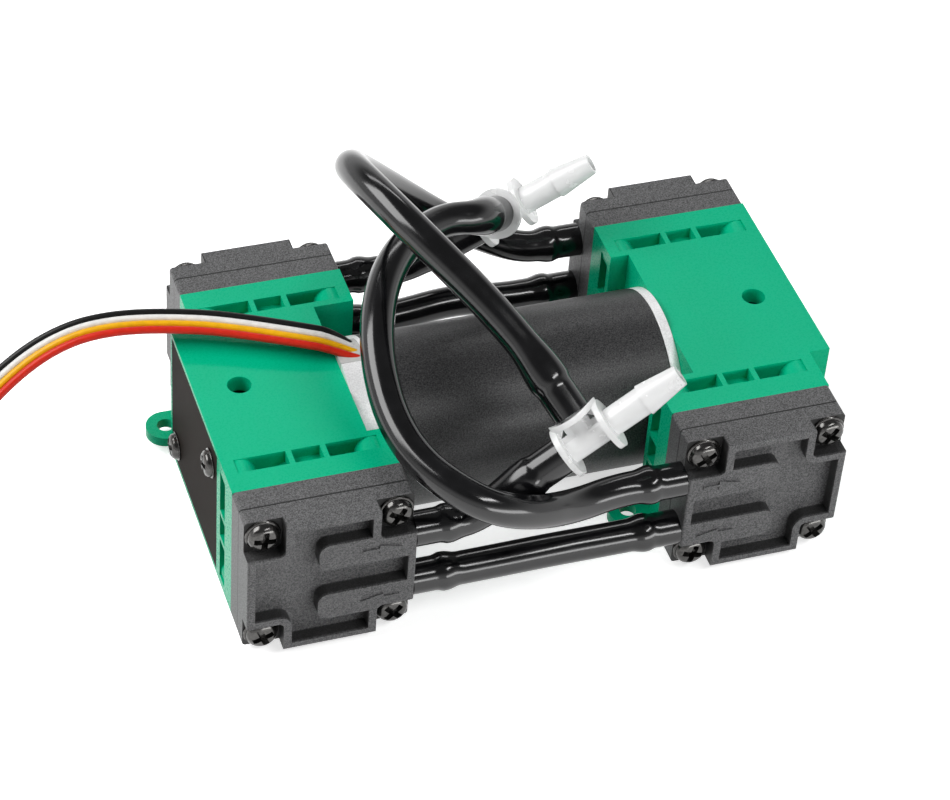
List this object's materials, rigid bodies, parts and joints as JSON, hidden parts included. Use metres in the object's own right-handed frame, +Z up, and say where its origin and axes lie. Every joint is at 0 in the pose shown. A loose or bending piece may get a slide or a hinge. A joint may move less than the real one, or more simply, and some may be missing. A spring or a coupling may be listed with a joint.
{
  "type": "twin diaphragm vacuum pump",
  "caption": "Small motor-driven vacuum pump: a diaphragm pump block on each end of one motor, its heads joined by black hoses and two tee connectors.",
  "frame": {"origin": "centre of the pump in plan, on the surface that it rests on", "axes": "+X along the motor shaft, +Y across the heads, +Z up"},
  "size_m": [0.2157, 0.0989, 0.0709],
  "materials": {
    "green_plastic": "moulded green plastic, satin",
    "end_cover_steel": "dark painted sheet",
    "dark_screws": "black oxide",
    "head_plastic": "fine textured dark grey plastic",
    "valve_rubber": "smooth black rubber",
    "motor_black": "fine textured black paint",
    "bright_metal": "satin cast metal",
    "core_steel": "stacked sheet",
    "copper": "enamelled wire",
    "bearing_steel": "ground steel",
    "board_green": "coated board",
    "grommet_grey": "light grey plastic",
    "hose_rubber": "glossy black hose",
    "tee_plastic": "milky translucent plastic",
    "lead_black": "soft insulation",
    "lead_white": "soft insulation",
    "lead_yellow": "soft insulation",
    "lead_red": "soft insulation",
    "tinned_copper": "tinned strands",
    "magnet_dark": "coated magnet",
    "brass_hub": "turned brass",
    "rod_plastic": "moulded plastic"
  },
  "bodies": {
    "root": {"crankcase_left": "green_plastic", "end_cover_left": "end_cover_steel", "crankcase_right": "green_plastic", "end_cover_right": "end_cover_steel", "end_cover_screws": "dark_screws", "head_base_front_left": "head_plastic", "head_cover_front_left": "head_plastic", "valve_sheet_front_left": "valve_rubber", "diaphragm_front_left": "valve_rubber", "head_base_front_right": "head_plastic", "head_cover_front_right": "head_plastic", "valve_sheet_front_right": "valve_rubber", "diaphragm_front_right": "valve_rubber", "head_base_back_left": "head_plastic", "head_cover_back_left": "head_plastic", "valve_sheet_back_left": "valve_rubber", "diaphragm_back_left": "valve_rubber", "head_base_back_right": "head_plastic", "head_cover_back_right": "head_plastic", "valve_sheet_back_right": "valve_rubber", "diaphragm_back_right": "valve_rubber", "head_screws": "dark_screws", "motor_can": "motor_black", "motor_front_plate": "bright_metal", "motor_rear_cap": "bright_metal", "stator_core": "core_steel", "stator_windings": "copper", "motor_bearings": "bearing_steel", "control_board": "board_green", "cable_grommet": "grommet_grey", "motor_screws": "dark_screws", "hose_front_link": "hose_rubber", "hose_back_link": "hose_rubber", "hose_inlet_loop": "hose_rubber", "hose_outlet_loop": "hose_rubber", "hose_outlet_feed": "hose_rubber", "hose_inlet_feed": "hose_rubber", "tee_outlet": "tee_plastic", "tee_inlet": "tee_plastic", "lead_black": "lead_black", "lead_white": "lead_white", "lead_yellow": "lead_yellow", "lead_red": "lead_red", "lead_tips": "tinned_copper"},
    "rotor": {"motor_shaft": "bearing_steel", "rotor_magnet": "magnet_dark", "eccentric_left": "brass_hub", "eccentric_right": "brass_hub", "set_screws": "dark_screws", "crank_bearings_left": "bearing_steel", "crank_bearings_right": "bearing_steel"},
    "rod_front_left": {"connecting_rod_front_left": "rod_plastic", "diaphragm_bolt_front_left": "bearing_steel"},
    "rod_front_right": {"connecting_rod_front_right": "rod_plastic", "diaphragm_bolt_front_right": "bearing_steel"},
    "rod_back_left": {"connecting_rod_back_left": "rod_plastic", "diaphragm_bolt_back_left": "bearing_steel"},
    "rod_back_right": {"connecting_rod_back_right": "rod_plastic", "diaphragm_bolt_back_right": "bearing_steel"}
  },
  "joints": [
    {"name": "rotor_spin", "type": "hinge", "parent": "root", "child": "rotor", "pos_m": [0, 0, 0.018], "axis": [1, 0, 0], "continuous": true},
    {"name": "crank_front_left", "type": "hinge", "parent": "rotor", "child": "rod_front_left", "pos_m": [-0.0466, -0.0015, 0.018], "axis": [1, 0, 0], "continuous": true, "deforming": ["diaphragm_front_left"]},
    {"name": "crank_front_right", "type": "hinge", "parent": "rotor", "child": "rod_front_right", "pos_m": [0.04215, 0.0015, 0.018], "axis": [1, 0, 0], "continuous": true, "deforming": ["diaphragm_front_right"]},
    {"name": "crank_back_left", "type": "hinge", "parent": "rotor", "child": "rod_back_left", "pos_m": [-0.04215, -0.0015, 0.018], "axis": [1, 0, 0], "continuous": true, "deforming": ["diaphragm_back_left"]},
    {"name": "crank_back_right", "type": "hinge", "parent": "rotor", "child": "rod_back_right", "pos_m": [0.0466, 0.0015, 0.018], "axis": [1, 0, 0], "continuous": true, "deforming": ["diaphragm_back_right"]}
  ],
  "couplings": [
    {"joint": "crank_front_left", "follows": "rotor_spin", "ratio": -1},
    {"joint": "crank_front_right", "follows": "rotor_spin", "ratio": -1},
    {"joint": "crank_back_left", "follows": "rotor_spin", "ratio": -1},
    {"joint": "crank_back_right", "follows": "rotor_spin", "ratio": -1}
  ]
}
